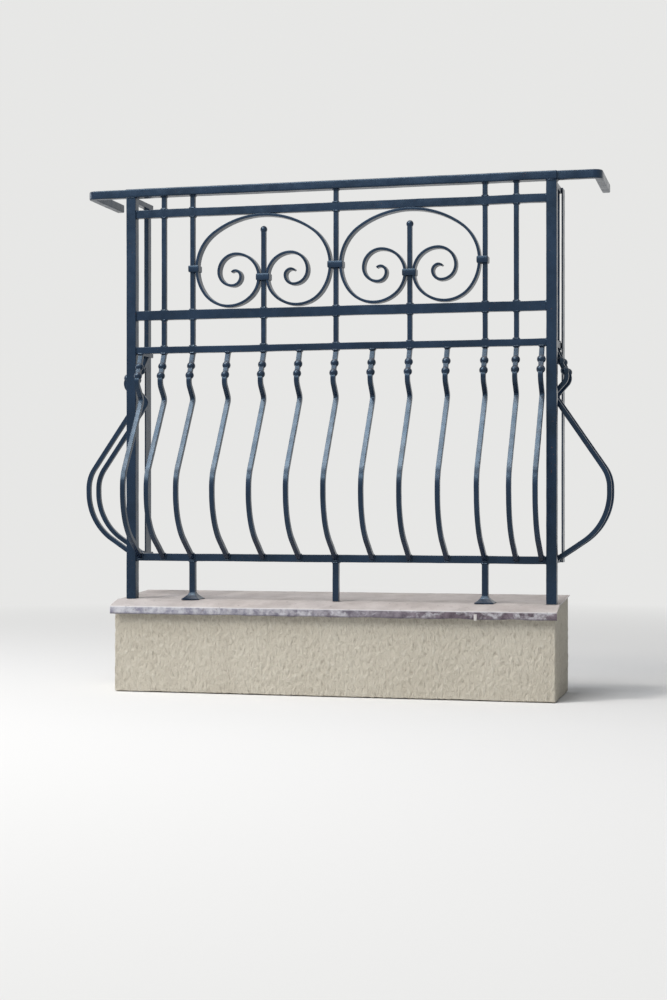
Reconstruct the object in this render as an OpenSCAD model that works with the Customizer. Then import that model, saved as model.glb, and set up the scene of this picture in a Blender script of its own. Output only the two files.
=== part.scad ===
// Small balcony: a stuccoed ledge that carries a bellied wrought iron railing.
// X runs along the wall, -Y points away from it and +Z is up.
// The origin is the centre of the ledge's back face, which lies on the wall.

/* [Ledge] */
// Width of the ledge along the wall
ledge_w = 1318; // [1300:1:1500]
// Distance that the ledge stands out from the wall
ledge_d = 312; // [300:1:400]
// Height of the ledge's back face
ledge_h = 286; // [240:1:320]
// Sheet metal thickness of the cover
cover_t = 2; // [1.5:0.5:3]
// Rise of the cover from the railing line to the wall
cover_rise = 14; // [6:1:24]
// Distance that the drip edge stands out in front of the stucco
drip_out = 22; // [12:1:30]
// Fall of the cover from the railing line to the drip edge
drip_fall = 18; // [10:1:24]
// Height of the drip edge
drip_h = 25; // [18:1:32]
// Overhang of the cover at each side of the ledge
cover_side = 4; // [0:1:10]

/* [Railing] */
// Sideways offset of the railing from the middle of the ledge
rail_shift = 8; // [0:1:10]
// Distance between the centres of the corner posts
post_span = 1262; // [1250:1:1270]
// Distance of the railing line from the wall
rail_line = 247; // [242:1:252]
// Side of a square corner post
post_w = 30; // [26:1:32]
// Height of the handrail's top above the ledge
rail_top = 1230; // [1200:1:1260]
// Height of the handrail section
handrail_h = 26; // [20:1:30]
// Depth of the front handrail
handrail_d = 40; // [34:1:46]
// Distance from a corner post's centre to the handrail's outer end
handrail_over = 143; // [120:1:160]
// Width of the handrail's return bars
return_w = 24; // [18:1:28]
// Thickness of the flat bar at the back of a side panel
wall_post_w = 5; // [4:1:8]
// Depth of the flat bar at the back of a side panel
wall_post_d = 50; // [40:1:52]
// Height of the top of a side panel above the ledge
panel_top = 1207; // [1190:1:1215]
// Clearance between that flat bar and the wall
wall_gap = 53; // [50:1:56]

/* [Rails] */
// Height of the upper rail's top above the ledge
upper_z = 1166; // [1155:1:1175]
// Height of the middle rail's top above the ledge
middle_z = 863; // [855:1:870]
// Height of the belly rail's top above the ledge
belly_rail_z = 755; // [750:1:765]
// Height of the bottom rail's top above the ledge
bottom_z = 136; // [130:1:145]
// Depth of all rails
rail_d = 20; // [18:1:22]

/* [Balusters] */
// Side of a square baluster bar
bar = 14; // [12:1:16]
// Distance between the inner balusters
pitch = 110; // [108:1:112]
// Distance from a corner post's centre to the first baluster beside it, on a side
side_first = 45; // [42:1:48]
// Distance between the balusters of a side
side_pitch = 81; // [78:1:84]
// Distance that the belly stands out, to the bar's centre
belly_out = 158; // [130:1:175]
// Distance that the shoulder above the neck stands out
shoulder_out = 41; // [30:1:46]
// Diameter of a knop
knop = 25; // [22:1:28]

/* [Scrolls] */
// Thickness of a scroll bar
scroll_t = 8; // [6:1:9]
// Depth of a scroll bar
scroll_d = 30; // [24:1:32]
// Clearance between a scroll and the middle rail
scroll_gap = 4; // [2:1:8]
// Wall thickness of a collar
collar_t = 3; // [3:1:5]
// Height of a collar
collar_h = 19; // [14:1:22]
// Diameter of a spike's ball
ball = 21; // [18:1:22]

/* [Feet] */
// Side of an intermediate foot
foot_w = 18; // [16:1:20]
// Width of a flared shoe
shoe_w = 56; // [45:1:60]
// Height of a flared shoe
shoe_h = 22; // [15:1:30]

/* [Hidden] */
$fn = 48;
// Arc step of the bent bars in degrees
arc_step = 5;
// Width of the level strip of the ledge under the railing
strip = 44;
// Level of the ledge's cover under the railing
base = ledge_h / 2 - cover_rise + cover_t;
post_x = post_span / 2;
upper_h = 24;
middle_h = 28;
belly_rail_h = 20;
bottom_h = 22;
// Height of the top rail of a side panel
side_top_h = 16;
// Length of the side rails that lies against the flat bar at their back
rail_lap = 12;
// Baluster places along the front, out from the middle one
step_x = [0, pitch, 2 * pitch, 3 * pitch, 4 * pitch, 4 * pitch + 90, post_x - 28];
front_x = concat([for (i = [6:-1:1]) -step_x[i]], step_x);
// Baluster places on a side, measured back from the corner post's centre
side_y = [side_first, side_first + side_pitch];
// Front balusters that run on up to the handrail, and those that end as a spike
tall = [1, 2, 6, 10, 11];
spiked = [4, 8];
// Radii and turns of half a scroll, from the middle of its arch to its tip
scroll_arcs = [
    [257.5, 35], [129.2, 55], [127.2, 35], [92.8, 55], [97, 45], [77, 45],
    [70, 90], [52, 90], [41, 90], [26, 90], [18, 90], [15, 45],
];
// Points of half a scroll at its own size: the side, the lowest point and the waist by the spike
unit_scroll = trail([0, 0], 0, scroll_arcs);
function at_heading(g) = [for (q = unit_scroll) if (abs(q[1] - g) < 0.01) q[0]][0];
unit_side = at_heading(-90);
unit_low = at_heading(-180);
unit_waist = at_heading(-270);
scroll_k = (upper_z - upper_h - middle_z - scroll_gap - scroll_t) / -unit_low.y;
scroll_x = 2 * pitch;
scroll_z = upper_z - upper_h - scroll_t / 2;

// Bent bars: a path is a list of [point, heading] pairs

function heading(v) = atan2(v.y, v.x);

function arc(p, h, r, turn) =
    let (s = sign(turn), n = ceil(abs(turn) / arc_step), c = p + s * r * [-sin(h), cos(h)])
    [for (k = [0:n]) let (g = h + turn * k / n) [c + s * r * [sin(g), -cos(g)], g]];

function corner(a, b, c, r) =
    let (
        h = heading(b - a),
        g = heading(c - b),
        turn = (g - h + 540) % 360 - 180,
        start = b - r * tan(abs(turn) / 2) * (b - a) / norm(b - a)
    )
    arc(start, h, r, turn);

function rounded(pts, radii) =
    let (n = len(pts))
    concat(
        [[pts[0], heading(pts[1] - pts[0])]],
        [for (i = [1:n - 2]) each corner(pts[i - 1], pts[i], pts[i + 1], radii[i - 1])],
        [[pts[n - 1], heading(pts[n - 1] - pts[n - 2])]]
    );

function trail(p, h, arcs, i = 0) =
    i == len(arcs) ? [] :
    let (a = arc(p, h, arcs[i][0], -arcs[i][1]), e = a[len(a) - 1])
    concat(i == 0 ? a : [for (k = [1:len(a) - 1]) a[k]], trail(e[0], e[1], arcs, i + 1));

module band(path, t) {
    side = [for (q = path) t / 2 * [-sin(q[1]), cos(q[1])]];
    n = len(path);
    polygon(concat(
        [for (i = [0:n - 1]) path[i][0] + side[i]],
        [for (i = [n - 1:-1:0]) path[i][0] - side[i]]
    ));
}

// Turns a profile of distance and height into a slab of the given width across X
module across(w) {
    rotate([90, 0, -90]) linear_extrude(w, center = true) children();
}

module railed() {
    translate([rail_shift, -rail_line, base]) children();
}

module block(x0, x1, y0, y1, z0, z1) {
    translate([x0, y0, z0]) cube([x1 - x0, y1 - y0, z1 - z0]);
}

// Height of the cover's top at a distance from the wall, above the ledge's level strip
inner = rail_line - strip / 2;
outer = rail_line + strip / 2;
nose = ledge_d + drip_out;
function slope_at(d) = -drip_fall * (d - outer) / (nose - outer);

module ledge() {
    color("#cfc8b2")
    across(ledge_w)
    polygon([
        [0, -ledge_h / 2], [ledge_d, -ledge_h / 2],
        [ledge_d, base + slope_at(ledge_d) - cover_t],
        [outer, base - cover_t], [inner, base - cover_t],
        [0, ledge_h / 2],
    ]);
}

module ledge_cover() {
    back = nose - cover_t;
    color("#5a4a48")
    translate([0, 0, base])
    across(ledge_w + 2 * cover_side)
    polygon([
        [0, cover_rise], [inner, 0], [outer, 0], [nose, -drip_fall],
        [nose, -drip_fall - drip_h], [back, -drip_fall - drip_h],
        [back, slope_at(back) - cover_t],
        [outer, -cover_t], [inner, -cover_t], [0, cover_rise - cover_t],
    ]);
}

module corner_post(side) {
    h = post_w / 2;
    color("#1c2026")
    railed()
    translate([side * post_x, 0, 0])
    block(-h, h, -h, h, 0, rail_top - handrail_h);
}

// A flat bar on edge against the outside of the side rails
module wall_post(side) {
    y = rail_line - wall_gap;
    color("#1c2026")
    railed()
    mirror([side < 0 ? 1 : 0, 0, 0])
    translate([post_x + rail_d / 2, 0, 0])
    block(0, wall_post_w, y - wall_post_d, y, bottom_z - bottom_h, panel_top);
}

module handrail_front() {
    w = post_x + post_w / 2;
    color("#20242b")
    railed()
    block(-w, w, -handrail_d / 2, handrail_d / 2, rail_top - handrail_h, rail_top);
}

module handrail_return(side) {
    start = post_x + post_w / 2;
    end = post_x + handrail_over;
    color("#20242b")
    railed()
    mirror([side < 0 ? 1 : 0, 0, 0])
    translate([0, 0, rail_top - handrail_h])
    linear_extrude(handrail_h)
    polygon([
        [start, -return_w / 2], [end, -return_w / 2], [end, rail_line],
        [end - return_w, rail_line], [end - return_w, return_w / 2], [start, return_w / 2],
    ]);
}

module rail(top, h) {
    w = post_x - post_w / 2;
    color("#20242b")
    railed()
    block(-w, w, -rail_d / 2, rail_d / 2, top - h, top);
}

module side_rails(side) {
    end = rail_line - wall_gap - wall_post_d + rail_lap;
    color("#20242b")
    railed()
    translate([side * post_x, 0, 0])
    for (r = [[panel_top, side_top_h], [belly_rail_z, belly_rail_h], [bottom_z, bottom_h]])
        block(-rail_d / 2, rail_d / 2, post_w / 2, end, r[0] - r[1], r[0]);
}

// Baluster profile: distance outward, then height
under_rail = belly_rail_z - belly_rail_h;
shoulder_z = 645;
neck = [-3, 597];
end_z = bottom_z - 8;
belly_r = [105, 169];
lean = 34.6;
// Height of the point where the lean meets the belly's upright tangent
belly_top = neck.y - (belly_out - neck.x) / tan(lean);
belly_low = end_z + (belly_out - rail_d / 2) / tan(56);
baluster_line = [
    [0, under_rail], [shoulder_out, shoulder_z], neck,
    [belly_out, belly_top], [belly_out, belly_low], [rail_d / 2, end_z],
];

module belly_bar() {
    lead = (baluster_line[0] - baluster_line[1]) * 0.2;
    tail = (baluster_line[5] - baluster_line[4]) * 0.2;
    path = rounded(
        concat([baluster_line[0] + lead], [for (i = [1:4]) baluster_line[i]], [baluster_line[5] + tail]),
        [25, 15, belly_r[0], belly_r[1]]
    );
    across(bar)
    intersection() {
        band(path, bar);
        union() {
            translate([-50, neck.y]) square([200, under_rail - neck.y]);
            translate([rail_d / 2, 0]) square([300, neck.y + 20]);
            translate([-50, neck.y - 40]) square([100, 50]);
        }
    }
    for (z = [under_rail - 40, under_rail - 69]) {
        y = shoulder_out * (under_rail - z) / (under_rail - shoulder_z);
        translate([0, -y, z]) sphere(d = knop);
    }
}

module upright(z0, z1) {
    block(-bar / 2, bar / 2, -bar / 2, bar / 2, z0, z1);
}

module baluster(i) {
    color("#1c2026")
    railed()
    translate([front_x[i], 0, 0]) {
        belly_bar();
        if (len(search(i, tall)) > 0) {
            upright(belly_rail_z, middle_z - middle_h);
            upright(middle_z, upper_z - upper_h);
            upright(upper_z, rail_top - handrail_h);
        }
        if (len(search(i, spiked)) > 0) {
            tip = scroll_z - scroll_t / 2 - 28 - ball / 2;
            upright(belly_rail_z, middle_z - middle_h);
            upright(middle_z, tip);
            translate([0, 0, tip]) sphere(d = ball);
        }
    }
}

module side_baluster(side, i) {
    color("#1c2026")
    railed()
    translate([side * post_x, side_y[i], 0])
    rotate([0, 0, side * 90]) {
        belly_bar();
        if (i == 1) upright(belly_rail_z, panel_top - side_top_h);
    }
}

module scroll(side) {
    half = trail([0, 0], 0, [for (a = scroll_arcs) [a[0] * scroll_k, a[1]]]);
    n = len(half);
    path = concat(
        [for (i = [n - 1:-1:1]) [[-half[i][0].x, half[i][0].y], -half[i][1]]],
        half
    );
    color("#262b33")
    railed()
    translate([side * scroll_x, scroll_d / 2, scroll_z])
    rotate([90, 0, 0]) linear_extrude(scroll_d) band(path, scroll_t);
}

module collar(x0, x1, z) {
    y = scroll_d / 2;
    t = collar_t;
    translate([0, 0, z - collar_h / 2])
    difference() {
        block(x0 - t, x1 + t, -y - t, y + t, 0, collar_h);
        block(x0, x1, -y, y, -1, collar_h + 1);
    }
}

// Reach of the scrolls from the spike and from the uprights, at a collar
spike_reach = scroll_k * unit_waist.x + scroll_t / 2 + 0.8;
upright_reach = scroll_x - scroll_k * unit_side.x + scroll_t / 2 + 0.6;

module spike_collars() {
    z = scroll_z + scroll_k * unit_waist.y;
    color("#262b33")
    railed()
    for (s = [-1, 1])
        translate([s * scroll_x, 0, 0]) collar(-spike_reach, spike_reach, z);
}

module upright_collars() {
    z = scroll_z + scroll_k * unit_side.y;
    color("#262b33")
    railed() {
        collar(-upright_reach, upright_reach, z);
        translate([2 * scroll_x, 0, 0]) collar(-upright_reach, bar / 2, z);
        translate([-2 * scroll_x, 0, 0]) collar(-bar / 2, upright_reach, z);
    }
}

module foot(x, shod) {
    h = foot_w / 2;
    color("#1c2026")
    railed()
    translate([x, 0, 0]) {
        block(-h, h, -h, h, 0, bottom_z - bottom_h);
        if (shod) shoe();
    }
}

// Flared shoe: two crossed wedges cut each other to a pyramid
module shoe() {
    side = [[-shoe_w / 2, 0], [shoe_w / 2, 0], [foot_w / 2 + 2, shoe_h], [-foot_w / 2 - 2, shoe_h]];
    intersection() {
        across(shoe_w) polygon(side);
        rotate([90, 0, 0]) linear_extrude(shoe_w, center = true) polygon(side);
    }
}

ledge();
ledge_cover();
corner_post(-1);  // corner_post_left
corner_post(1);  // corner_post_right
wall_post(-1);  // wall_post_left
wall_post(1);  // wall_post_right
handrail_front();
handrail_return(-1);  // handrail_return_left
handrail_return(1);  // handrail_return_right
rail(upper_z, upper_h);  // upper_rail
rail(middle_z, middle_h);  // middle_rail
rail(belly_rail_z, belly_rail_h);  // belly_rail
rail(bottom_z, bottom_h);  // bottom_rail
side_rails(-1);  // side_rails_left
side_rails(1);  // side_rails_right
baluster(0);  // baluster_01
baluster(1);  // baluster_02
baluster(2);  // baluster_03
baluster(3);  // baluster_04
baluster(4);  // baluster_05
baluster(5);  // baluster_06
baluster(6);  // baluster_07
baluster(7);  // baluster_08
baluster(8);  // baluster_09
baluster(9);  // baluster_10
baluster(10);  // baluster_11
baluster(11);  // baluster_12
baluster(12);  // baluster_13
side_baluster(-1, 0);  // side_baluster_left_front
side_baluster(-1, 1);  // side_baluster_left_back
side_baluster(1, 0);  // side_baluster_right_front
side_baluster(1, 1);  // side_baluster_right_back
scroll(-1);  // scroll_left
scroll(1);  // scroll_right
spike_collars();
upright_collars();
foot(-4 * pitch, true);  // foot_left
foot(0, false);  // foot_middle
foot(4 * pitch, true);  // foot_right
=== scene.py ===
"""Looks of the small balcony: rough stucco ledge, painted sheet cover and wrought iron railing."""
import math

import bmesh
import bpy
import numpy as np
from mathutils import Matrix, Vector, noise

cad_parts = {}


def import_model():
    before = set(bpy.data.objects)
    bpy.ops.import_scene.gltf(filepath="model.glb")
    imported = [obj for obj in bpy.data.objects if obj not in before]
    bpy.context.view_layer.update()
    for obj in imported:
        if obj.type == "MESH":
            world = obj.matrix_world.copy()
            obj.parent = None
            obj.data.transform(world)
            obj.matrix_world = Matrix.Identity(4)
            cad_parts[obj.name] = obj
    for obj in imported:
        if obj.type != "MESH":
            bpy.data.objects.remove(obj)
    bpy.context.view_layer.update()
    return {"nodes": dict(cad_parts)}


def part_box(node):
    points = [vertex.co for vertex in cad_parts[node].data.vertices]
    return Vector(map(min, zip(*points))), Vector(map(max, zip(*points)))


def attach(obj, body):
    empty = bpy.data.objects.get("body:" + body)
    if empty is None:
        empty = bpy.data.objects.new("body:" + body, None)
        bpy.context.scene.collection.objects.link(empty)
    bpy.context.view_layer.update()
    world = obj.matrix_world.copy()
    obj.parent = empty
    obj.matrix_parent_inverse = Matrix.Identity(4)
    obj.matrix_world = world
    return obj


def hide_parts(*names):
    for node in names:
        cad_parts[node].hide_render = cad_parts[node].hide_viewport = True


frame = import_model()
# noise_vector would follow the clock without a seed
noise.seed_set(3)

MM = 0.001
X, Y, Z = np.eye(3)
# Axes of the row frame: along the wall, into it and up
ALONG, DEEP, UP = range(3)
SIDES = {"left": -1, "right": 1}


# Sizes in mm, from the solids' boxes where these give them, and otherwise as in the part's source

def start_of(node, axis):
    """Low end of a node's box along an axis, to a tenth of a millimetre."""
    return round(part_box(node)[0][axis] / MM, 1)


def end_of(node, axis):
    """High end of a node's box along an axis, to a tenth of a millimetre."""
    return round(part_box(node)[1][axis] / MM, 1)


def length_of(node, axis):
    return end_of(node, axis) - start_of(node, axis)


def middle_of(node, axis):
    """Middle of a node's box along an axis, to a whole millimetre."""
    return float(round((start_of(node, axis) + end_of(node, axis)) / 2))


# The railing's place: its middle, its distance from the wall and the level strip that it stands on
RAIL_X = middle_of("handrail_front", ALONG)
RAIL_LINE = -middle_of("handrail_front", DEEP)
STRIP_Z = start_of("foot_middle", UP)
RAIL = np.array((RAIL_X, -RAIL_LINE, STRIP_Z))

POST_X = middle_of("corner_post_right", ALONG) - RAIL_X
POST_W = length_of("corner_post_right", ALONG)
RAIL_TOP = end_of("handrail_front", UP) - STRIP_Z
HANDRAIL_H = length_of("handrail_front", UP)
HANDRAIL_D = length_of("handrail_front", DEEP)
UNDER_HANDRAIL = RAIL_TOP - HANDRAIL_H
RETURN_END = end_of("handrail_return_right", ALONG) - RAIL_X
RETURN_W = -2 * (RAIL_LINE + start_of("handrail_return_right", DEEP))
RETURN_BEND = RETURN_W / 2 + 3

# Rails as (top, height), above the level strip
RAIL_D = length_of("upper_rail", DEEP)
RAILS = {
    name: (end_of(f"{name}_rail", UP) - STRIP_Z, length_of(f"{name}_rail", UP))
    for name in ("upper", "middle", "belly", "bottom")
}
UNDER = {name: top - h for name, (top, h) in RAILS.items()}
PANEL_TOP = end_of("wall_post_right", UP) - STRIP_Z
SIDE_TOP_H = 16.0
SIDE_RAILS = {"side_top": (PANEL_TOP, SIDE_TOP_H), "belly": RAILS["belly"], "bottom": RAILS["bottom"]}
SIDE_END = RAIL_LINE + end_of("side_rails_right", DEEP)
WALL_POST_W = length_of("wall_post_right", ALONG)
WALL_POST_D = length_of("wall_post_right", DEEP)
WALL_POST_BACK = RAIL_LINE + end_of("wall_post_right", DEEP)

# Front balusters, of which TALL run on to the handrail and SPIKED end in a ball, counted from 0
BALUSTERS = sorted(node for node in frame["nodes"] if node.startswith("baluster_"))
FRONT_X = [middle_of(node, ALONG) - RAIL_X for node in BALUSTERS]
SIDE_Y = [middle_of(f"side_baluster_left_{place}", DEEP) + RAIL_LINE for place in ("front", "back")]
TALL = (1, 2, 6, 10, 11)
SPIKED = (4, 8)
BAR, KNOP, BALL = 14.0, 25.0, 21.0
SPIKE_TOP = end_of("baluster_05", UP) - STRIP_Z

# A baluster's profile as (out, height): corners, slopes in degrees from upright and radii of the bends
BELLY_OUT = -RAIL_LINE - start_of("baluster_01", DEEP) - BAR / 2
SHOULDER, NECK, END_Z = (41.0, 645.0), (-3.0, 597.0), 128.0
LEAN, TAIL = 34.6, 56.0
BENDS = (25.0, 15.0, 105.0, 169.0)
KNOP_DROPS = (40.0, 69.0)

# Half a scroll from the middle of its arch, as radii and turns in degrees
SCROLL_ARCS = [
    (257.5, 35), (129.2, 55), (127.2, 35), (92.8, 55), (97, 45), (77, 45),
    (70, 90), (52, 90), (41, 90), (26, 90), (18, 90), (15, 45),
]
SCROLL_T, SCROLL_GAP = 8.0, 4.0
SCROLL_D = length_of("scroll_right", DEEP)
SCROLL_X = middle_of("scroll_right", ALONG) - RAIL_X
SCROLL_Z = UNDER["upper"] - SCROLL_T / 2
# Size of a scroll's section at its tips, and the number of rings over which it grows to the whole
TIP_SCALE, TIP_RINGS = 0.7, 20
COLLAR_H = length_of("spike_collars", UP)
COLLAR_T = (length_of("spike_collars", DEEP) - SCROLL_D) / 2
# How far the collars' openings reach past the scrolls, on the spikes and on the uprights
SPIKE_GRIP, UPRIGHT_GRIP = 0.8, 0.6
# A collar's rounded face, as shares of half its height and of its thickness
COLLAR_FACE = [
    (-1, 0.0), (-1, 0.55), (-0.82, 0.9), (-0.3, 1.0),
    (0.3, 1.0), (0.82, 0.9), (1, 0.55), (1, 0.0),
]

FEET = {label: middle_of(f"foot_{label}", ALONG) - RAIL_X for label in ("left", "middle", "right")}
FOOT_W = length_of("foot_middle", ALONG)
SHOE_W = length_of("foot_left", ALONG)
SHOE_H, SHOE_RIM, SHOE_FLARE, SHOE_RINGS = 22.0, 2.5, 1.7, 8

LEDGE_W, LEDGE_D, LEDGE_H = (length_of("ledge", axis) for axis in (ALONG, DEEP, UP))
COVER_W = length_of("ledge_cover", ALONG)
COVER_T = end_of("ledge_cover", UP) - end_of("ledge", UP)
COVER_RISE = end_of("ledge_cover", UP) - STRIP_Z
STRIP = 44.0
STRIP_INNER, STRIP_OUTER = RAIL_LINE - STRIP / 2, RAIL_LINE + STRIP / 2
DRIP_FALL = 18.0
NOSE = -start_of("ledge_cover", DEEP)
NOSE_Z = STRIP_Z - DRIP_FALL
HEM_Z = start_of("ledge_cover", UP)

# How far bars, posts and the uprights' lower ends run on inside what carries them
SUNK, POST_SUNK, UPRIGHT_SUNK = 3.0, 2.0, 8.0
# What is taken off the solids' sizes so that the hammer marks stay inside them
ROOM, BAR_ROOM, THIN_ROOM, HANDRAIL_ROOM = 1.0, 0.8, 0.6, 0.2
# Spacing of the rings along a bar and along a rail
STEP, RAIL_STEP = 14.0, 16.0
# Weld fillets: radii under and on rails, at rails' ends and round posts, and their place off the iron
WELD, TOP_WELD, RAIL_END_WELD, POST_WELD = 2.6, 3.4, 2.4, 2.8
WELD_OFF, WELD_HALF = 0.4, BAR / 2 + 0.6
# Round a slanting bar, under the belly rail and on the bottom rail: how far out of the railing's line
# a fillet's middle lies, and how much longer its half is
LEAN_OUT, LEAN_MORE = 2.0, 1.0
TAIL_OUT, TAIL_MORE = RAIL_D / 2 + 0.3, 1.6
# A fillet's ripples round the bar, their share of its radius, and the share and fineness of its lumps
RIPPLES, RIPPLE, LUMP, LUMP_FINE = 9, 0.16, 0.35, 0.09

# Rounding of the arrises
ARRIS = {
    "upright": 1.3, "belly": 1.4, "rail": 1.6, "post": 2.4, "wall_post": 1.5, "handrail": 4.5,
    "return": 3.5, "scroll": 1.3, "collar_hole": 0.6, "collar": 3.0, "foot": 1.6, "shoe": 2.0, "clip": 0.8,
}
# Hammer marks as (fine, coarse) shifts, and how fast each changes along the iron, per mm
MARKS = {
    "bar": (0.22, 0.5), "knop": (0.5, 0.3), "ball": (0.4, 0.0), "rail": (0.3, 1.0),
    "side_rail": (0.3, 0.6), "post": (0.3, 0.5), "wall_post": (0.2, 0.2), "handrail": (0.25, 0.6),
    "return": (0.25, 0.4), "scroll": (0.2, 0.4), "collar": (0.3, 0.3), "shoe": (0.4, 0.3),
    "clip": (0.3, 0.3),
}
FINE, COARSE = 0.045, 0.006

# The clip on the cover's hem: its place from the railing's middle, width, thickness and height
CLIP_X, CLIP_W, CLIP_T, CLIP_H = 425.0, 8.0, 2.4, 17.0
# How far the clip's middle lies behind the nose's line, and its end below the hem
CLIP_BACK, CLIP_DROP = 0.6, 1.0
# The dented sheet is a little thinner than its solid
SHEET_T = COVER_T * 0.8
# Distances from the wall at which the cover's top has points, and how many rings it has
COVER_STATIONS = [*range(0, 226, 25), 240, 255, 269, 280, 291, 302, 313, 322, 329]
COVER_RINGS = 221

# Studio: linear colours, the fill light's strength, and places and sizes in metres
BACKDROP = (0.80, 0.80, 0.79)
FLOOR_COLOUR = (0.73, 0.725, 0.715)
FLOOR_REACH = 30.0
FLOOR_FADE = (1.2, 4.5)
FILL_COLOUR, FILL = (0.93, 0.96, 1.0), 0.33
# Softboxes as place, aim, size, power and colour
WARM, COOL, PALE_SKY = (1.0, 0.96, 0.91), (0.97, 0.98, 1.0), (0.94, 0.97, 1.0)
LAMPS = {
    "key": ((-6.6, -6.2, 7.6), (0, -0.2, 0.5), (2.1, 2.1), 560, WARM),
    "top": ((-1.45, -2.3, 6.1), (-1.45, -0.2, 0.5), (3.6, 2.2), 230, COOL),
    "front": ((-1.5, -5.2, 4.0), (0, -0.3, 0.5), (3.8, 1.4), 110, COOL),
    "side": ((-4.6, 0.5, 1.3), (0, -0.3, 0.7), (0.7, 3.0), 36, PALE_SKY),
}
# The photograph's viewpoint in metres, its focal length and height in pixels, and the sensor in mm
EYE = (1.236, -5.247, 0.427)
AIM_X = 0.0
FOCAL_PX, FRAME_PX = 1760, 1000
SENSOR = 36


# Bent paths: lists of (point, heading in radians) in a plane

def arc(p, h, r, turn, step=3.0):
    """A bend from p with heading h, to the left where turn is positive, in steps of so many degrees."""
    s = math.copysign(1, turn)
    n = max(2, math.ceil(abs(math.degrees(turn)) / step))
    c = (p[0] - s * r * math.sin(h), p[1] + s * r * math.cos(h))
    heads = [h + turn * k / n for k in range(n + 1)]
    return [((c[0] + s * r * math.sin(g), c[1] - s * r * math.cos(g)), g) for g in heads]


def straight(a, b, step=STEP):
    n = max(1, round(math.dist(a, b) / step))
    h = math.atan2(b[1] - a[1], b[0] - a[0])
    return [((a[0] + (b[0] - a[0]) * k / n, a[1] + (b[1] - a[1]) * k / n), h) for k in range(n + 1)]


def rounded(pts, radii):
    """A polyline with its inner corners bent to radii."""
    path, last = [], pts[0]
    for a, b, c, r in zip(pts, pts[1:], pts[2:], radii):
        h = math.atan2(b[1] - a[1], b[0] - a[0])
        turn = (math.atan2(c[1] - b[1], c[0] - b[0]) - h + 3 * math.pi) % (2 * math.pi) - math.pi
        back = r * math.tan(abs(turn) / 2)
        start = (b[0] - back * math.cos(h), b[1] - back * math.sin(h))
        bend = arc(start, h, r, turn)
        path += straight(last, start)[:-1] + bend[:-1]
        last = bend[-1][0]
    return path + straight(last, pts[-1])


def belly_path(lead=0.05):
    """Profile from inside the belly rail, by a share of the top slope, to inside the bottom rail."""
    top = UNDER["belly"]
    start = (-SHOULDER[0] * lead, top + (top - SHOULDER[1]) * lead)
    high = NECK[1] - (BELLY_OUT - NECK[0]) / math.tan(math.radians(LEAN))
    low = END_Z + (BELLY_OUT - RAIL_D / 2) / math.tan(math.radians(TAIL))
    end = (RAIL_D / 2 - BAR / 2, END_Z - BAR / 2 / math.tan(math.radians(TAIL)))
    return rounded([start, SHOULDER, NECK, (BELLY_OUT, high), (BELLY_OUT, low), end], BENDS)


def scroll_half(k=1.0):
    """Half a scroll from the middle of its arch to its tip, at k times the radii."""
    path, p, h = [], (0.0, 0.0), 0.0
    for r, turn in SCROLL_ARCS:
        bend = arc(p, h, r * k, -math.radians(turn))
        path += bend[1:] if path else bend
        p, h = bend[-1]
    return path


def at_heading(path, degrees):
    """The point of a path where its heading is nearest to that."""
    return min(path, key=lambda q: abs(q[1] - math.radians(degrees)))[0]


def fitted_half():
    """Half a scroll that just fits between the upper and the middle rail."""
    room = UNDER["upper"] - RAILS["middle"][0] - SCROLL_GAP - SCROLL_T
    lowest = at_heading(scroll_half(), -180)[1]
    return scroll_half(room / -lowest)


# Shells: (vertices in mm, faces)

def section(w, h, r, steps=2):
    """Points of a rounded rectangle w by h."""
    pts = []
    for cx, cy, a0 in ((1, 1, 0), (-1, 1, 90), (-1, -1, 180), (1, -1, 270)):
        for k in range(steps + 1):
            a = math.radians(a0 + 90 * k / steps)
            pts.append((cx * (w / 2 - r) + r * math.cos(a), cy * (h / 2 - r) + r * math.sin(a)))
    return pts


def spine(path, origin, out, up):
    """A path in the plane of out and up, as (point, side, across)."""
    across = np.cross(out, up)
    return [
        (origin + a * out + b * up, -math.sin(h) * out + math.cos(h) * up, across)
        for (a, b), h in path
    ]


def line(start, end, side, across, step=STEP):
    """A straight spine."""
    start, end = np.array(start, float), np.array(end, float)
    n = max(1, round(np.linalg.norm(end - start) / step))
    return [(start + (end - start) * k / n, side, across) for k in range(n + 1)]


def rings_to_shell(rings, closed=False):
    """Rings of points joined in turn, with flat ends unless the last ring joins the first."""
    n, m = len(rings[0]), len(rings)
    faces = []
    for k in range(m if closed else m - 1):
        a, b = k * n, (k + 1) % m * n
        faces += [(a + i, a + (i + 1) % n, b + (i + 1) % n, b + i) for i in range(n)]
    if not closed:
        faces += [tuple(range(n)), tuple((m - 1) * n + i for i in range(n))]
    return np.concatenate([np.array(r, float) for r in rings]), faces


def sweep(frames, pts, scales=None):
    """A section carried along a spine, at the size that scales gives for each frame."""
    rings = []
    for k, (p, side, across) in enumerate(frames):
        s = scales[k] if scales else 1
        rings.append([p + u * s * side + v * s * across for u, v in pts])
    return rings_to_shell(rings)


def revolve(profile, origin, axis, n=20):
    """A profile of (height, radius) turned about an axis."""
    side = np.cross(axis, X if abs(axis[0]) < 0.9 else Y)
    side /= np.linalg.norm(side)
    across = np.cross(axis, side)
    turns = [2 * math.pi * i / n for i in range(n)]
    rings = [
        [origin + h * axis + r * (math.cos(t) * side + math.sin(t) * across) for t in turns]
        for h, r in profile
    ]
    return rings_to_shell(rings)


def squarish(t, half, power=0.45):
    """A cosine drawn out towards a square wave, so that a loop follows a square bar."""
    return half * math.copysign(abs(math.cos(t)) ** power, math.cos(t))


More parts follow.
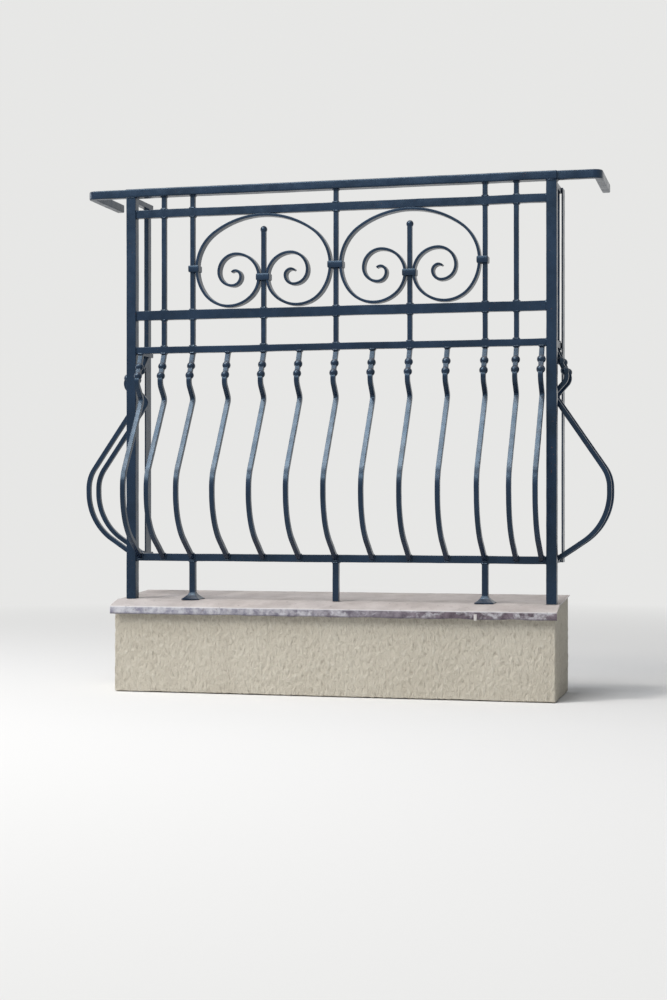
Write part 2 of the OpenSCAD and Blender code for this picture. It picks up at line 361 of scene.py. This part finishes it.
def bead(centre, u, v, half_u, half_v, r=WELD, n=36, sides=8):
    """A rippled weld fillet round a bar of that half size."""
    axis = np.cross(u, v)
    turns = [2 * math.pi * k / sides for k in range(sides)]
    rings = []
    for i in range(n):
        t = 2 * math.pi * i / n
        p = centre + squarish(t, half_u) * u + squarish(t - math.pi / 2, half_v) * v
        out = math.cos(t) * u + math.sin(t) * v
        lump = LUMP * noise.noise(Vector(p) * LUMP_FINE)
        width = r * (1 + RIPPLE * math.sin(RIPPLES * t) + lump)
        rings.append([p + width * (math.cos(a) * out + math.sin(a) * axis) for a in turns])
    return rings_to_shell(rings, closed=True)


def forge(shell, kind="bar"):
    """Hammer and bending marks: small shifts of the surface, as MARKS gives them."""
    verts, faces = shell
    fine, coarse = MARKS[kind]
    moved = [
        np.array(noise.noise_vector(Vector(v) * FINE)) * fine
        + np.array(noise.noise_vector(Vector(v) * COARSE)) * coarse
        for v in verts
    ]
    return verts + np.array(moved), faces


# Objects

def make(name, shells, material, replaces=(), smooth=40.0):
    """One piece from shells, riding on the body and standing for the nodes named."""
    verts, faces, start = [], [], 0
    for shell_verts, shell_faces in shells:
        verts.append(shell_verts)
        faces += [tuple(i + start for i in f) for f in shell_faces]
        start += len(shell_verts)
    mesh = bpy.data.meshes.new(name)
    mesh.from_pydata((np.concatenate(verts) * MM).tolist(), [], faces)
    bm = bmesh.new()
    bm.from_mesh(mesh)
    bmesh.ops.recalc_face_normals(bm, faces=bm.faces)
    bm.to_mesh(mesh)
    bm.free()
    obj = bpy.data.objects.new(name, mesh)
    bpy.context.scene.collection.objects.link(obj)
    dress(obj, material, replaces, smooth)


def dress(obj, material, replaces=(), smooth=40.0):
    """Material, shading, body and slot for a new object, and the nodes that it stands for."""
    mesh = obj.data
    mesh.materials.clear()
    mesh.materials.append(material)
    mesh.polygons.foreach_set("use_smooth", [True] * len(mesh.polygons))
    mesh.set_sharp_from_angle(angle=math.radians(smooth))
    obj.modifiers.new("even_normals", "WEIGHTED_NORMAL").keep_sharp = True
    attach(obj, "root")
    if replaces:
        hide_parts(*replaces)


def forged(node, shells):
    """The iron piece that stands for a node."""
    make(f"{node}_forged", shells, IRON, [node])


# Materials

class Nodes:
    """Short calls for building a material."""

    def __init__(self, name):
        self.material = bpy.data.materials.new(name)
        self.material.use_nodes = True
        self.tree = self.material.node_tree
        self.shader = self.tree.nodes["Principled BSDF"]
        self.place = self.add("ShaderNodeTexCoord").outputs["Object"]
        self.normal = self.add("ShaderNodeNewGeometry").outputs["Normal"]

    def add(self, kind, **values):
        node = self.tree.nodes.new(kind)
        for key, value in values.items():
            setattr(node, key, value)
        return node

    def link(self, a, b):
        self.tree.links.new(a, b)

    def feed(self, socket, value):
        """Link a socket to another's output, or set its own value."""
        if isinstance(value, bpy.types.NodeSocket):
            self.link(value, socket)
        else:
            socket.default_value = value

    def stretched(self, scale, turn=(0, 0, 0)):
        """The place on the object, scaled and turned."""
        node = self.add("ShaderNodeMapping")
        node.inputs["Scale"].default_value = scale
        node.inputs["Rotation"].default_value = turn
        self.link(self.place, node.inputs["Vector"])
        return node.outputs["Vector"]

    def noise(self, scale, detail=3.0, rough=0.5, distort=0.0, at=None):
        node = self.add("ShaderNodeTexNoise")
        values = {"Scale": scale, "Detail": detail, "Roughness": rough, "Distortion": distort}
        for key, value in values.items():
            node.inputs[key].default_value = value
        self.link(at or self.place, node.inputs["Vector"])
        return node.outputs["Fac"]

    def spread(self, value, low, high, out_low=0.0, out_high=1.0):
        """A value between low and high mapped to the range from out_low to out_high."""
        node = self.add("ShaderNodeMapRange")
        ends = {"From Min": low, "From Max": high, "To Min": out_low, "To Max": out_high}
        for key, v in {"Value": value, **ends}.items():
            self.feed(node.inputs[key], v)
        return node.outputs["Result"]

    def math(self, kind, a, b=0.0):
        node = self.add("ShaderNodeMath", operation=kind)
        self.feed(node.inputs[0], a)
        self.feed(node.inputs[1], b)
        return node.outputs[0]

    def times(self, a, b):
        return self.math("MULTIPLY", a, b)

    def plus(self, a, b):
        return self.math("ADD", a, b)

    def mix(self, share, a, b):
        """A share of colour b over colour a, each a plain colour or an output."""
        node = self.add("ShaderNodeMix", data_type="RGBA")
        self.feed(node.inputs[0], share)
        for socket, colour in ((6, a), (7, b)):
            plain = isinstance(colour, tuple)
            self.feed(node.inputs[socket], (*colour, 1) if plain else colour)
        return node.outputs[2]

    def part(self, vector, axis):
        node = self.add("ShaderNodeSeparateXYZ")
        self.link(vector, node.inputs[0])
        return node.outputs[axis]

    def bump(self, height, distance, strength=1.0, after=None):
        node = self.add("ShaderNodeBump")
        node.inputs["Strength"].default_value = strength
        node.inputs["Distance"].default_value = distance
        self.link(height, node.inputs["Height"])
        if after:
            self.link(after, node.inputs["Normal"])
        return node.outputs["Normal"]

    def finish(self, colour, rough, normal):
        self.feed(self.shader.inputs["Base Color"], colour)
        self.feed(self.shader.inputs["Roughness"], rough)
        self.feed(self.shader.inputs["Normal"], normal)
        return self.material


def iron_paint():
    """Black gloss paint gone satin over forged iron, with a blue cast that is a painted sky reflection,
    dust and a painted sky sheen on what faces up, and rust at chips.
    """
    n = Nodes("iron_paint")
    # Both paint colours carry a blue cast that is a painted sky reflection; the real paint is black
    deep, sky_blue_cast = (0.002, 0.007, 0.021), (0.006, 0.015, 0.037)
    dust, rust = (0.24, 0.25, 0.265), (0.105, 0.045, 0.022)
    colour = n.mix(n.spread(n.noise(9, 4), 0.35, 0.65), deep, sky_blue_cast)
    # Up-facing parts are paler: partly real dust, partly a painted sheen of sky light on the knops' and
    # bellies' tops
    facing_up = n.spread(n.part(n.normal, UP), 0.20, 0.95)
    dust_and_sheen = n.times(facing_up, n.spread(n.noise(30, 3, 0.45), 0.25, 0.62))
    colour = n.mix(n.times(dust_and_sheen, 0.48), colour, dust)
    chips = n.spread(n.noise(190, 3), 0.70, 0.74)
    colour = n.mix(n.times(chips, 0.7), colour, rust)
    rough = n.plus(n.spread(n.noise(40, 3), 0.3, 0.7, 0.22, 0.34), n.times(dust_and_sheen, 0.1))
    dents = n.bump(n.noise(42, 2, 0.4), 0.0014, 0.4)
    skin = n.bump(n.noise(420, 2), 0.0001, 0.2, dents)
    # The blue specular tint also stands in for reflected sky
    n.shader.inputs["Specular Tint"].default_value = (0.55, 0.79, 1.0, 1)
    return n.finish(colour, rough, skin)


def stucco():
    """Pale rough-cast render raked upright, with painted shade in its pits, painted highlights on its
    crests and faint stains.
    """
    n = Nodes("stucco")
    shaded, pale = (0.520, 0.480, 0.398), (0.580, 0.541, 0.457)
    pit_shade, crest_highlight, rain = (0.30, 0.262, 0.208), (0.62, 0.59, 0.51), (0.33, 0.28, 0.225)
    raked = n.stretched((1.0, 1.0, 0.42), (0, math.radians(14), 0))
    slant = n.stretched((1.0, 1.0, 0.5), (0, math.radians(-32), 0))
    grooves = n.noise(145, 4, 0.6, 0.5, raked)
    crossed = n.noise(90, 3, 0.55, 0.4, slant)
    grit = n.noise(520, 3, 0.6)
    relief = n.plus(n.plus(n.times(grooves, 0.55), n.times(crossed, 0.30)), n.times(grit, 0.15))
    colour = n.mix(n.spread(n.noise(2.6, 4), 0.36, 0.66), shaded, pale)
    # Painted shade in the rough-cast's pits, then a painted highlight on its crests
    colour = n.mix(n.spread(relief, 0.36, 0.47, 0.62, 0.0), colour, pit_shade)
    colour = n.mix(n.spread(relief, 0.53, 0.62, 0.0, 0.7), colour, crest_highlight)
    runs = n.noise(9, 5, 0.6, 0, n.stretched((1, 1, 0.12)))
    colour = n.mix(n.times(n.spread(runs, 0.56, 0.80), 0.24), colour, rain)
    rough = n.spread(grit, 0.3, 0.7, 0.84, 0.97)
    return n.finish(colour, rough, n.bump(relief, 0.013, 1.0))


def sheet_paint():
    """Old purple-brown painted sheet, bleached to lavender white towards one end, under pale dust."""
    n = Nodes("sheet_paint")
    across, height = n.part(n.place, ALONG), n.part(n.place, UP)
    paint = old_paint(n, across, height)
    dull, light, speck = (0.40, 0.355, 0.335), (0.53, 0.48, 0.455), (0.16, 0.13, 0.135)
    lying = n.spread(n.part(n.normal, UP), 0.35, 0.9)
    coat = n.times(lying, n.spread(n.noise(5, 4, 0.55), 0.30, 0.62, 0.76, 0.97))
    dust = n.mix(n.spread(n.noise(13, 5, 0.6), 0.35, 0.65), dull, light)
    colour = n.mix(coat, paint, dust)
    colour = n.mix(n.spread(n.noise(95, 4, 0.6), 0.62, 0.70, 0.0, 0.55), colour, speck)
    colour = n.mix(on_clip(n, across, height), colour, (0.52, 0.50, 0.49))
    rough = n.plus(n.times(coat, 0.40), 0.40)
    waves = n.bump(n.noise(14, 3, 0.45), 0.004, 0.4)
    return n.finish(colour, rough, n.bump(n.noise(300, 3), 0.0004, 0.4, waves))


def old_paint(n, across, height):
    """Brown paint, bleached towards the left, with a pale film, a painted highlight along the fold and
    painted shade along the hem.
    """
    mottle = n.spread(n.noise(42, 6, 0.62), 0.40, 0.60)
    brown = n.mix(mottle, (0.055, 0.038, 0.050), (0.150, 0.118, 0.145))
    bleached = n.mix(mottle, (0.190, 0.188, 0.245), (0.45, 0.455, 0.49))
    film, fold_highlight, hem_shade = (0.50, 0.495, 0.525), (0.56, 0.55, 0.56), (0.045, 0.036, 0.052)
    paint = n.mix(n.spread(across, -0.50, 0.35), bleached, brown)
    streaks = n.noise(60, 6, 0.65, 0.3, n.stretched((0.6, 0.22, 0.7)))
    paint = n.mix(n.spread(streaks, 0.50, 0.64, 0.0, 0.75), paint, film)
    # A painted highlight along the drip edge's top fold
    at_fold_highlight = n.spread(height, (NOSE_Z - 4.5) * MM, (NOSE_Z - 1.5) * MM)
    paint = n.mix(n.times(at_fold_highlight, 0.75), paint, fold_highlight)
    # Painted shade along the bottom of the drip edge, at the hem
    at_hem_shade = n.spread(height, (HEM_Z + 7.5) * MM, (HEM_Z + 2.5) * MM)
    return n.mix(n.times(at_hem_shade, 0.75), paint, hem_shade)


def on_clip(n, across, height):
    """1 on the clip on the hem, and 0 on the sheet beyond it."""
    aside = n.math("ABSOLUTE", n.math("SUBTRACT", across, (RAIL_X + CLIP_X) * MM))
    beside = n.spread(aside, (CLIP_W / 2 + 1.2) * MM, CLIP_W / 2 * MM)
    return n.times(beside, n.spread(height, (HEM_Z + 18.0) * MM, (HEM_Z + 15.5) * MM))


IRON, STUCCO, SHEET = iron_paint(), stucco(), sheet_paint()


# Railing

def at(x=0.0, y=0.0, z=0.0):
    """A point from the railing's middle and the level strip, in the row frame."""
    return RAIL + np.array((x, y, z), float)


def upright(x, y, z0, z1, w=BAR, d=BAR, r=ARRIS["upright"]):
    """A bar of w by d from z0 to z1."""
    return sweep(line(at(x, y, z0), at(x, y, z1), X, Y), section(w, d, r))


def ball_profile(r, n=12, pole=0.4):
    """From pole to pole, with small discs at the poles."""
    angles = [math.pi * k / n for k in range(n + 1)]
    return [(-r * math.cos(a), max(pole, r * math.sin(a))) for a in angles]


def knops(origin, out):
    """Two forged knops where the bar leans out under the belly rail."""
    rise = UNDER["belly"] - SHOULDER[1]
    axis = Z * rise - out * SHOULDER[0]
    axis = axis / np.linalg.norm(axis)
    made = []
    for drop in KNOP_DROPS:
        centre = origin + SHOULDER[0] * drop / rise * out + (UNDER["belly"] - drop) * Z
        made.append(forge(revolve(ball_profile(KNOP / 2), centre, axis), "knop"))
    return made


def baluster(origin, out):
    """The bellied lower part, standing at origin and leaning out."""
    bar = sweep(spine(belly_path(), origin, out, Z), section(BAR - BAR_ROOM, BAR, ARRIS["belly"]))
    return [forge(bar), *knops(origin, out)]


def front_balusters():
    foot, ball_z = UNDER["belly"] + UPRIGHT_SUNK, SPIKE_TOP - BALL / 2
    for i, (node, x) in enumerate(zip(BALUSTERS, FRONT_X)):
        shells = baluster(at(x), -Y)
        if i in TALL:
            shells.append(forge(upright(x, 0, foot, UNDER_HANDRAIL + SUNK)))
        if i in SPIKED:
            shells.append(forge(upright(x, 0, foot, ball_z)))
            shells.append(forge(revolve(ball_profile(BALL / 2), at(x, 0, ball_z), Z), "ball"))
        forged(node, shells)


def side_balusters():
    """Two a side, of which the back one runs on to the side's top rail."""
    foot, top = UNDER["belly"] + UPRIGHT_SUNK, PANEL_TOP - SIDE_TOP_H + SUNK
    for label, side in SIDES.items():
        x = side * POST_X
        for y, place in zip(SIDE_Y, ("front", "back")):
            shells = baluster(at(x, y), side * X)
            if place == "back":
                shells.append(forge(upright(x, y, foot, top)))
            forged(f"side_baluster_{label}_{place}", shells)


def rails():
    """Four rails between the corner posts, and three on each side."""
    half = POST_X - POST_W / 2 + POST_SUNK
    for name, (top, h) in RAILS.items():
        z = top - h / 2
        frames = line(at(-half, 0, z), at(half, 0, z), Y, Z, RAIL_STEP)
        forged(f"{name}_rail", [forge(sweep(frames, section(RAIL_D, h, ARRIS["rail"])), "rail")])
    start, end = POST_W / 2 - POST_SUNK, SIDE_END - ROOM / 2
    for label, side in SIDES.items():
        x, shells = side * POST_X, []
        for top, h in SIDE_RAILS.values():
            z = top - h / 2
            frames = line(at(x, start, z), at(x, end, z), X, Z)
            shells.append(forge(sweep(frames, section(RAIL_D, h, ARRIS["rail"])), "side_rail"))
        forged(f"side_rails_{label}", shells)


def posts():
    """Square corner posts, and a flat bar on edge outside the side rails near the wall."""
    flat_x, flat_y = POST_X + RAIL_D / 2 + WALL_POST_W / 2, WALL_POST_BACK - WALL_POST_D / 2
    square = (POST_W, POST_W, ARRIS["post"])
    flat = (WALL_POST_W - THIN_ROOM, WALL_POST_D - ROOM, ARRIS["wall_post"])
    for label, side in SIDES.items():
        bar = upright(side * POST_X, 0, 0, UNDER_HANDRAIL + POST_SUNK, *square)
        forged(f"corner_post_{label}", [forge(bar, "post")])
        bar = upright(side * flat_x, flat_y, UNDER["bottom"], PANEL_TOP, *flat)
        forged(f"wall_post_{label}", [forge(bar, "wall_post")])


def handrail():
    """The front bar and its returns, which turn back to the wall beyond the corner posts."""
    half, z = POST_X + POST_W / 2, RAIL_TOP - HANDRAIL_H / 2 - HANDRAIL_ROOM
    frames = line(at(-half, 0, z), at(half, 0, z), Y, Z, RAIL_STEP)
    bar = sweep(frames, section(HANDRAIL_D - ROOM, HANDRAIL_H - ROOM, ARRIS["handrail"], 4))
    forged("handrail_front", [forge(bar, "handrail")])
    outline = section(RETURN_W - ROOM, HANDRAIL_H - ROOM, ARRIS["return"], 3)
    for label, side in SIDES.items():
        turn = (side * (RETURN_END - RETURN_W / 2), 0.0)
        corners = [(side * (half - POST_SUNK), 0.0), turn, (turn[0], ROOM - RAIL_LINE)]
        path = rounded(corners, [RETURN_BEND])
        frames = [(at(a, -b, z), np.array((-math.sin(h), -math.cos(h), 0)), Z) for (a, b), h in path]
        forged(f"handrail_return_{label}", [forge(sweep(frames, outline), "return")])


def scrolls():
    """A flat bar from one spiral's tip over the arch to the other's, thinner at both tips."""
    half = fitted_half()
    path = [((-a, b), -h) for (a, b), h in reversed(half[1:])] + half
    from_tip = [min(i, len(path) - 1 - i) for i in range(len(path))]
    scales = [min(1.0, TIP_SCALE + (1 - TIP_SCALE) * i / TIP_RINGS) for i in from_tip]
    outline = section(SCROLL_T, SCROLL_D, ARRIS["scroll"])
    for label, side in SIDES.items():
        frames = spine(path, at(side * SCROLL_X, 0, SCROLL_Z), X, Z)
        forged(f"scroll_{label}", [forge(sweep(frames, outline, scales), "scroll")])


def collars():
    """Bands round the spikes and the scrolls' waists, and round the uprights and the scrolls' flanks."""
    half = fitted_half()
    (waist_x, waist_z), (flank_x, flank_z) = at_heading(half, -270), at_heading(half, -90)
    reach = waist_x + SCROLL_T / 2 + SPIKE_GRIP
    middles = (-SCROLL_X, SCROLL_X)
    forged("spike_collars", [collar(x - reach, x + reach, SCROLL_Z + waist_z) for x in middles])
    reach = SCROLL_X - flank_x + SCROLL_T / 2 + UPRIGHT_GRIP
    far, edge = 2 * SCROLL_X, BAR / 2
    spans = [(-reach, reach), (far - reach, far + edge), (-far - edge, reach - far)]
    forged("upright_collars", [collar(a, b, SCROLL_Z + flank_z) for a, b in spans])


def collar(x0, x1, z):
    """A band hammered round the bars between x0 and x1, with a rounded face."""
    x, w, h = (x0 + x1) / 2, x1 - x0, COLLAR_H / 2
    inner = section(w, SCROLL_D, ARRIS["collar_hole"], 3)
    outer = section(w + 2 * COLLAR_T, SCROLL_D + 2 * COLLAR_T, ARRIS["collar"], 3)
    rings = [
        [at(x + a + (c - a) * s, b + (e - b) * s, z + k * h) for k, s in COLLAR_FACE]
        for (a, b), (c, e) in zip(inner, outer)
    ]
    return forge(rings_to_shell(rings, closed=True), "collar")


def feet():
    """Three square feet, of which the outer two spread into a shoe."""
    for label, x in FEET.items():
        shells = [forge(upright(x, 0, 0, UNDER["bottom"] + SUNK, FOOT_W, FOOT_W, ARRIS["foot"]))]
        if label != "middle":
            shells.append(shoe(x))
        forged(f"foot_{label}", shells)


def shoe(x):
    """A square foot's flared base, with a rim as thick as a plate."""
    neck = FOOT_W + 1
    levels = [(SHOE_W, 0.0)]
    for k in range(SHOE_RINGS + 1):
        s = k / SHOE_RINGS
        levels.append((neck + (SHOE_W - neck) * (1 - s) ** SHOE_FLARE, SHOE_RIM + s * (SHOE_H - SHOE_RIM)))
    rings = [[at(x + u, v, z) for u, v in section(w, w, ARRIS["shoe"])] for w, z in levels]
    return forge(rings_to_shell(rings), "shoe")


def welds():
    """Weld fillets where bars meet rails, one piece for each rail."""
    beads = {name: [] for name in ("handrail", *RAILS, "side_top")}

    def ring(name, x, y, z, u=X, v=Y, half_u=WELD_HALF, half_v=WELD_HALF, r=WELD):
        beads[name].append(bead(at(x, y, z), u, v, half_u, half_v, r))

    front_welds(ring)
    side_welds(ring)
    for x in FEET.values():
        ring("bottom", x, 0, UNDER["bottom"] - WELD_OFF, half_u=FOOT_W / 2, half_v=FOOT_W / 2)
    for name, shells in beads.items():
        make(f"welds_{name}", shells, IRON)


def front_welds(ring):
    """Where the front balusters meet the rails and the handrail."""
    for i, x in enumerate(FRONT_X):
        ring("belly", x, -LEAN_OUT, UNDER["belly"] - WELD_OFF, half_v=WELD_HALF + LEAN_MORE)
        ring("bottom", x, -TAIL_OUT, END_Z, v=Z, half_v=WELD_HALF + TAIL_MORE)
        if i in TALL + SPIKED:
            ring("belly", x, 0, RAILS["belly"][0] + WELD_OFF, r=TOP_WELD)
            ring("middle", x, 0, UNDER["middle"] - WELD_OFF)
            ring("middle", x, 0, RAILS["middle"][0] + WELD_OFF, r=TOP_WELD)
        if i in TALL:
            ring("upper", x, 0, UNDER["upper"] - WELD_OFF)
            ring("upper", x, 0, RAILS["upper"][0] + WELD_OFF, r=TOP_WELD)
            ring("handrail", x, 0, UNDER_HANDRAIL - WELD_OFF / 2)


def side_welds(ring):
    """Where the side balusters meet the rails, and the rails and the handrail meet the corner posts."""
    post = POST_W / 2
    for side in SIDES.values():
        x = side * POST_X
        for y in SIDE_Y:
            ring("belly", x + side * LEAN_OUT, y, UNDER["belly"] - WELD_OFF, half_u=WELD_HALF + LEAN_MORE)
            ring("bottom", x + side * TAIL_OUT, y, END_Z, u=Y, v=Z, half_v=WELD_HALF + TAIL_MORE)
        ring("belly", x, SIDE_Y[1], RAILS["belly"][0] + WELD_OFF, r=TOP_WELD)
        ring("side_top", x, SIDE_Y[1], PANEL_TOP - SIDE_TOP_H - WELD_OFF)
        for name, (z, h) in RAILS.items():
            inside = side * (POST_X - post - WELD_OFF / 2)
            ring(name, inside, 0, z - h / 2, Y, Z, RAIL_D / 2, h / 2, RAIL_END_WELD)
        for name, (z, h) in SIDE_RAILS.items():
            ring(name, x, post + WELD_OFF / 2, z - h / 2, X, Z, RAIL_D / 2, h / 2, RAIL_END_WELD)
        ring("handrail", x, 0, UNDER_HANDRAIL - WELD_OFF / 2, half_u=post, half_v=post, r=POST_WELD)


# Ledge

def slope_at(d):
    """Height of the cover's top at a distance from the wall, above the level strip."""
    if d < STRIP_INNER:
        return COVER_RISE * (1 - d / STRIP_INNER)
    return -DRIP_FALL * max(0.0, d - STRIP_OUTER) / (NOSE - STRIP_OUTER)


def ledge():
    """The stuccoed block under the cover, with worn edges and a raked rough-cast face."""
    base, top = -LEDGE_H / 2, STRIP_Z - COVER_T
    profile = [
        (0, base), (LEDGE_D, base), (LEDGE_D, top + slope_at(LEDGE_D)),
        (STRIP_OUTER, top), (STRIP_INNER, top), (0, top + COVER_RISE),
    ]
    rings = [[(x, -d, z) for d, z in profile] for x in (-LEDGE_W / 2, LEDGE_W / 2)]
    verts, faces = rings_to_shell(rings)
    mesh = bpy.data.meshes.new("ledge_stucco")
    mesh.from_pydata((verts * MM).tolist(), [], faces)
    obj = bpy.data.objects.new("ledge_stucco", mesh)
    bpy.context.scene.collection.objects.link(obj)
    obj.data = remeshed(obj)
    roughen(obj.data)
    dress(obj, STUCCO, ["ledge"], 180)


def remeshed(obj, voxel=0.0052):
    """An even mesh of an object's shape, with faces of about that size in metres."""
    remesh = obj.modifiers.new("remesh", "REMESH")
    remesh.mode = "VOXEL"
    remesh.voxel_size = voxel
    bpy.context.view_layer.update()
    made = bpy.data.meshes.new_from_object(obj.evaluated_get(bpy.context.evaluated_depsgraph_get()))
    obj.modifiers.clear()
    return made


def roughen(mesh, grain=0.0019, swell=0.0010, wall=0.006):
    """Sink a mesh's surface in raked grains and slow swells, in metres, except close to the wall."""
    count = len(mesh.vertices)
    co, normals = np.zeros(count * 3), np.zeros(count * 3)
    mesh.vertices.foreach_get("co", co)
    mesh.vertex_normals.foreach_get("vector", normals)
    co, normals = co.reshape(-1, 3), normals.reshape(-1, 3)
    for i in range(count):
        p = Vector(co[i])
        rake = Vector((p.x - 0.4 * p.z, p.y, p.z * 0.6))
        raised = noise.fractal(rake * 80, 0.8, 2.1, 3) * grain + noise.noise(p * 5.5) * swell
        if p.y < -wall:
            co[i] += normals[i] * min(0.0, raised - grain)
    mesh.vertices.foreach_set("co", co.ravel())
    mesh.update()


def dent(x, d, fade=18.0, wall=12.0, sunk=0.4):
    """Height of the dents in the cover's top, which fade towards the nose and are slight at the wall."""
    away = min(1.0, max(0.0, (NOSE - d) / fade))
    wave = noise.noise(Vector((x * 0.011, d * 0.013, 3.1))) * 1.5
    ripple = noise.noise(Vector((x * 0.035, d * 0.02, 7.7))) * 0.7
    return (wave + ripple) * away * (0.25 if d < wall else 1.0) - sunk


def cover_outline(x, drop=0.0):
    """Points (distance from the wall, height) over the nose and round the drip edge, drop mm inside."""
    pts = [(d, STRIP_Z + slope_at(d) + dent(x, d) - drop) for d in COVER_STATIONS]
    sag = noise.noise(Vector((x * 0.012, 5.0, 1.0))) * 2.6 + noise.noise(Vector((x * 0.04, 9.0, 2.0)))
    nose_z, low = NOSE_Z - drop, HEM_Z + 1.2 + max(-0.8, sag)
    front = NOSE - 1.6 + min(0.9, sag * 0.5) - drop
    mid = (nose_z - 3.0 + low) / 2
    pts += [(front - 2.2, nose_z + 0.4), (front - 0.6, nose_z - 0.9), (front, nose_z - 3.0)]
    return pts + [(front - 0.5, mid), (front, low + 4.0), (front - 0.3, low + 1.0)]


def cover():
    """The sheet: dented top, a folded drip edge with a wavy hem, and a clip on the hem."""
    rings = []
    for x in np.linspace(-COVER_W / 2, COVER_W / 2, COVER_RINGS):
        loop = cover_outline(x) + cover_outline(x, SHEET_T)[::-1]
        rings.append([(x, -d, z) for d, z in loop])
    start = np.array((RAIL_X + CLIP_X, CLIP_BACK - NOSE, HEM_Z - CLIP_DROP))
    spine_up = line(start, start + CLIP_H * Z, X, Y, 3)
    clip = forge(sweep(spine_up, section(CLIP_W, CLIP_T, ARRIS["clip"])), "clip")
    make("cover_sheet", [rings_to_shell(rings), clip], SHEET, ["ledge_cover"], 50)


# Stage, light and camera

def seen_rays(tree):
    """1 for camera, glossy and transmission rays, to which the backdrop shows, and 0 for the rest."""
    path = tree.nodes.new("ShaderNodeLightPath")
    seen = path.outputs["Is Camera Ray"]
    for kind in ("Is Glossy Ray", "Is Transmission Ray"):
        either = tree.nodes.new("ShaderNodeMath")
        either.operation = "MAXIMUM"
        tree.links.new(seen, either.inputs[0])
        tree.links.new(path.outputs[kind], either.inputs[1])
        seen = either.outputs[0]
    return seen


def mix_shaders(tree, share, lit, shown, output):
    """Show a share of one shader over another at the tree's output node."""
    mixed = tree.nodes.new("ShaderNodeMixShader")
    for socket, source in zip(mixed.inputs, (share, lit.outputs[0], shown.outputs[0])):
        tree.links.new(source, socket)
    tree.links.new(mixed.outputs[0], tree.nodes[output].inputs["Surface"])


def floor_paint():
    """Pale matte floor that fades into the backdrop away from the object."""
    n = Nodes("floor")
    n.shader.inputs["Base Color"].default_value = (*FLOOR_COLOUR, 1)
    n.shader.inputs["Roughness"].default_value = 0.9
    n.shader.inputs["Specular IOR Level"].default_value = 0.1
    glow = n.add("ShaderNodeEmission")
    glow.inputs["Color"].default_value = (*BACKDROP, 1)
    far = n.add("ShaderNodeVectorMath", operation="LENGTH")
    n.link(n.place, far.inputs[0])
    share = n.times(n.spread(far.outputs["Value"], *FLOOR_FADE), seen_rays(n.tree))
    mix_shaders(n.tree, share, n.shader, glow, "Material Output")
    return n.material


def floor():
    """A wide square level with the ledge's underside."""
    mesh = bpy.data.meshes.new("floor")
    s, z = FLOOR_REACH, -LEDGE_H / 2 * MM
    mesh.from_pydata([(-s, -s, z), (s, -s, z), (s, s, z), (-s, s, z)], [], [(0, 1, 2, 3)])
    mesh.materials.append(floor_paint())
    obj = bpy.data.objects.new("floor", mesh)
    bpy.context.scene.collection.objects.link(obj)


def world():
    """A pale backdrop to the eye and in reflections, and an even soft fill."""
    made = bpy.data.worlds.new("studio")
    made.use_nodes = True
    tree = made.node_tree
    fill = tree.nodes["Background"]
    fill.inputs["Color"].default_value = (*FILL_COLOUR, 1)
    fill.inputs["Strength"].default_value = FILL
    backdrop = tree.nodes.new("ShaderNodeBackground")
    backdrop.inputs["Color"].default_value = (*BACKDROP, 1)
    mix_shaders(tree, seen_rays(tree), fill, backdrop, "World Output")
    bpy.context.scene.world = made


def aimed(name, data, place, aim):
    """A lamp or camera at a place, looking at another, and upright."""
    obj = bpy.data.objects.new(name, data)
    obj.location = place
    obj.rotation_euler = (Vector(aim) - Vector(place)).to_track_quat("-Z", "Y").to_euler()
    bpy.context.scene.collection.objects.link(obj)
    return obj


def softbox(name, place, aim, size, power, colour):
    lamp = bpy.data.lights.new(name, "AREA")
    lamp.shape = "RECTANGLE"
    lamp.size, lamp.size_y = size
    lamp.energy = power
    lamp.color = colour
    aimed(name, lamp, place, aim)


def camera():
    """Where the photograph was taken from: level, 5 m off and well to the right."""
    data = bpy.data.cameras.new("camera")
    data.sensor_width = SENSOR
    data.lens = SENSOR * FOCAL_PX / FRAME_PX
    bpy.context.scene.camera = aimed("camera", data, EYE, (AIM_X, -RAIL_LINE * MM, EYE[2]))


front_balusters()
side_balusters()
rails()
posts()
handrail()
scrolls()
collars()
feet()
welds()
ledge()
cover()
floor()
world()
for lamp_name, values in LAMPS.items():
    softbox(lamp_name, *values)
camera()

bpy.context.scene.view_settings.view_transform = "Standard"
